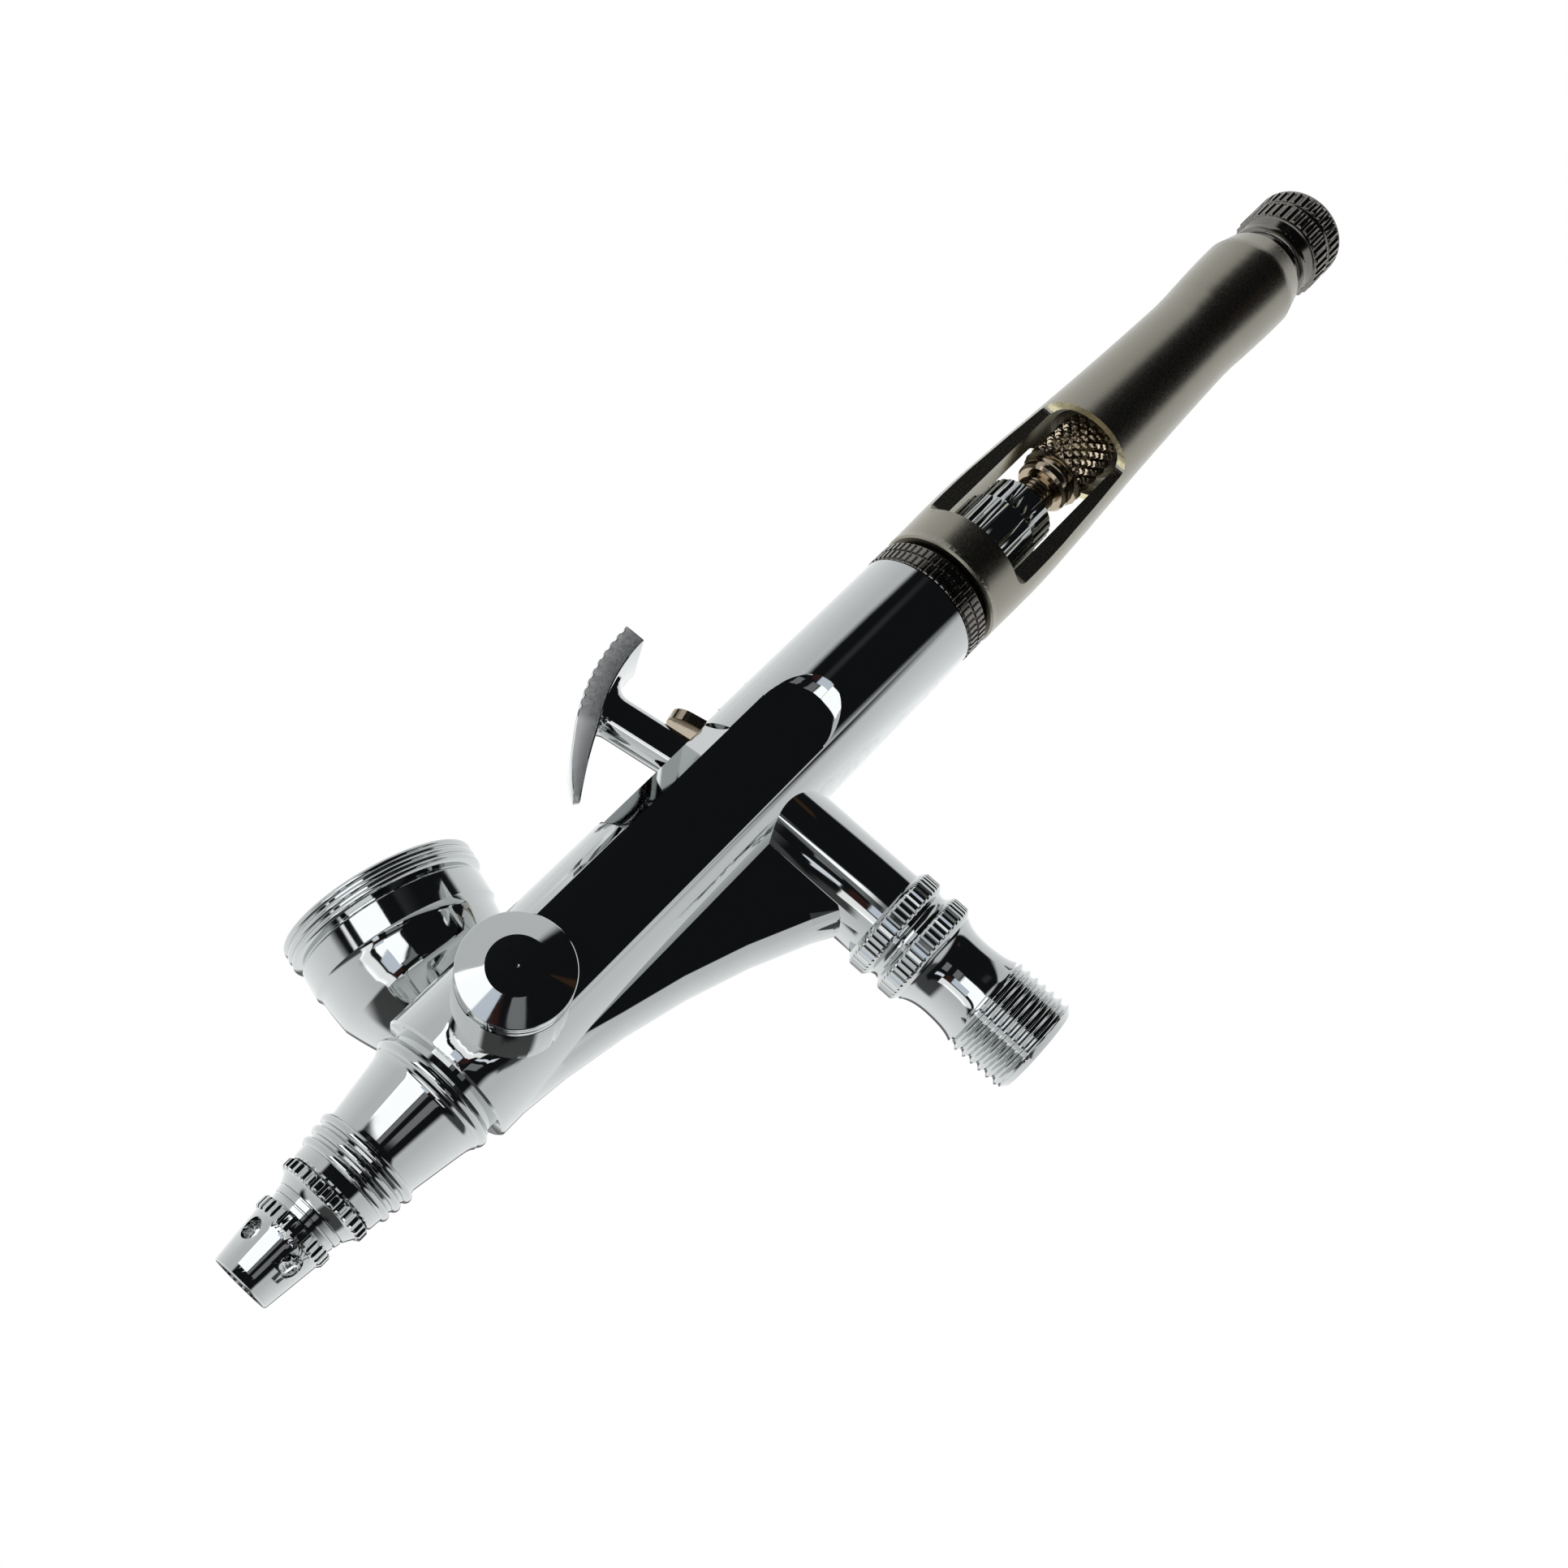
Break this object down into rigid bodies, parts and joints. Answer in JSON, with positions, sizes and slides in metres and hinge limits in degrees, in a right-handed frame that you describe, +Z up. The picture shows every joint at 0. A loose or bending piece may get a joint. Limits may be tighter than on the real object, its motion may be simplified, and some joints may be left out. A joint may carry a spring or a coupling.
{
  "type": "airbrush",
  "caption": "Double-action side-feed airbrush with a swivelling metal colour cup, finger lever trigger, air valve with threaded inlet, and a cut-away tail handle with a stop screw",
  "frame": {"origin": "middle of the air inlet's end face, where the hose screws on, at the lowest point of the valve", "axes": "+X runs along the barrel from the spray tip to the tail, +Z up the air valve to the trigger, +Y towards the colour cup"},
  "size_m": [0.1588, 0.0469, 0.0588],
  "materials": {
    "chrome_body": "mirror-bright chrome plate on brass",
    "nickel": "satin nickel plate",
    "black_nickel": "dark nickel plate",
    "steel": "polished stainless steel",
    "brass": "turned brass",
    "ptfe": "white PTFE seal"
  },
  "bodies": {
    "gun": {"barrel": "chrome_body", "head": "chrome_body", "nozzle": "brass", "nozzle_cap": "chrome_body", "needle_cap": "chrome_body", "port_plug": "chrome_body", "plug_seal": "ptfe", "lever_pin": "steel", "needle_packing": "ptfe", "packing_screw": "brass", "needle_spring": "steel", "spring_case": "chrome_body", "lock_ring": "black_nickel", "handle": "nickel", "valve_guide": "brass", "valve_seat": "brass", "valve_spring": "steel", "spring_nut": "brass", "valve_body": "chrome_body"},
    "colour_cup": {"cup": "chrome_body", "cup_stem": "chrome_body", "stem_seal": "ptfe"},
    "air_valve": {"valve_pin": "brass", "valve_seal": "ptfe"},
    "finger_trigger": {"trigger": "chrome_body"},
    "needle_lever": {"aux_lever": "nickel"},
    "needle_set": {"needle": "steel", "chuck_guide": "chrome_body", "chuck_nut": "nickel"},
    "travel_stop": {"stop_screw": "black_nickel"}
  },
  "joints": [
    {"name": "air_press", "type": "slide", "parent": "gun", "child": "air_valve", "axis": [0, 0, -1], "range_m": [0, 0.0016], "stiffness_N_per_m": 1000, "springref_m": -0.002, "deforming": ["valve_spring"]},
    {"name": "trigger_pull", "type": "hinge", "parent": "air_valve", "child": "finger_trigger", "pos_m": [0, 0, 0.0299], "axis": [0, 1, 0], "range_deg": [0, 24]},
    {"name": "lever_swing", "type": "hinge", "parent": "gun", "child": "needle_lever", "pos_m": [0.0036, 0, 0.0324], "axis": [0, 1, 0], "range_deg": [0, 30.5]},
    {"name": "needle_draw", "type": "slide", "parent": "gun", "child": "needle_set", "axis": [1, 0, 0], "range_m": [0, 0.00314], "stiffness_N_per_m": 400, "springref_m": -0.004},
    {"name": "cup_swivel", "type": "hinge", "parent": "gun", "child": "colour_cup", "pos_m": [-0.0302, 0.0175, 0.0354], "axis": [0, 1, 0], "range_deg": [-100, 70]},
    {"name": "stop_turn", "type": "hinge", "parent": "gun", "child": "travel_stop", "pos_m": [0.0915, 0, 0.0354], "axis": [1, 0, 0], "continuous": true}
  ],
  "couplings": [
    {"joint": "trigger_pull", "follows": "needle_draw", "rad_per_m": 133.3},
    {"joint": "lever_swing", "follows": "needle_draw", "rad_per_m": 166.6}
  ]
}
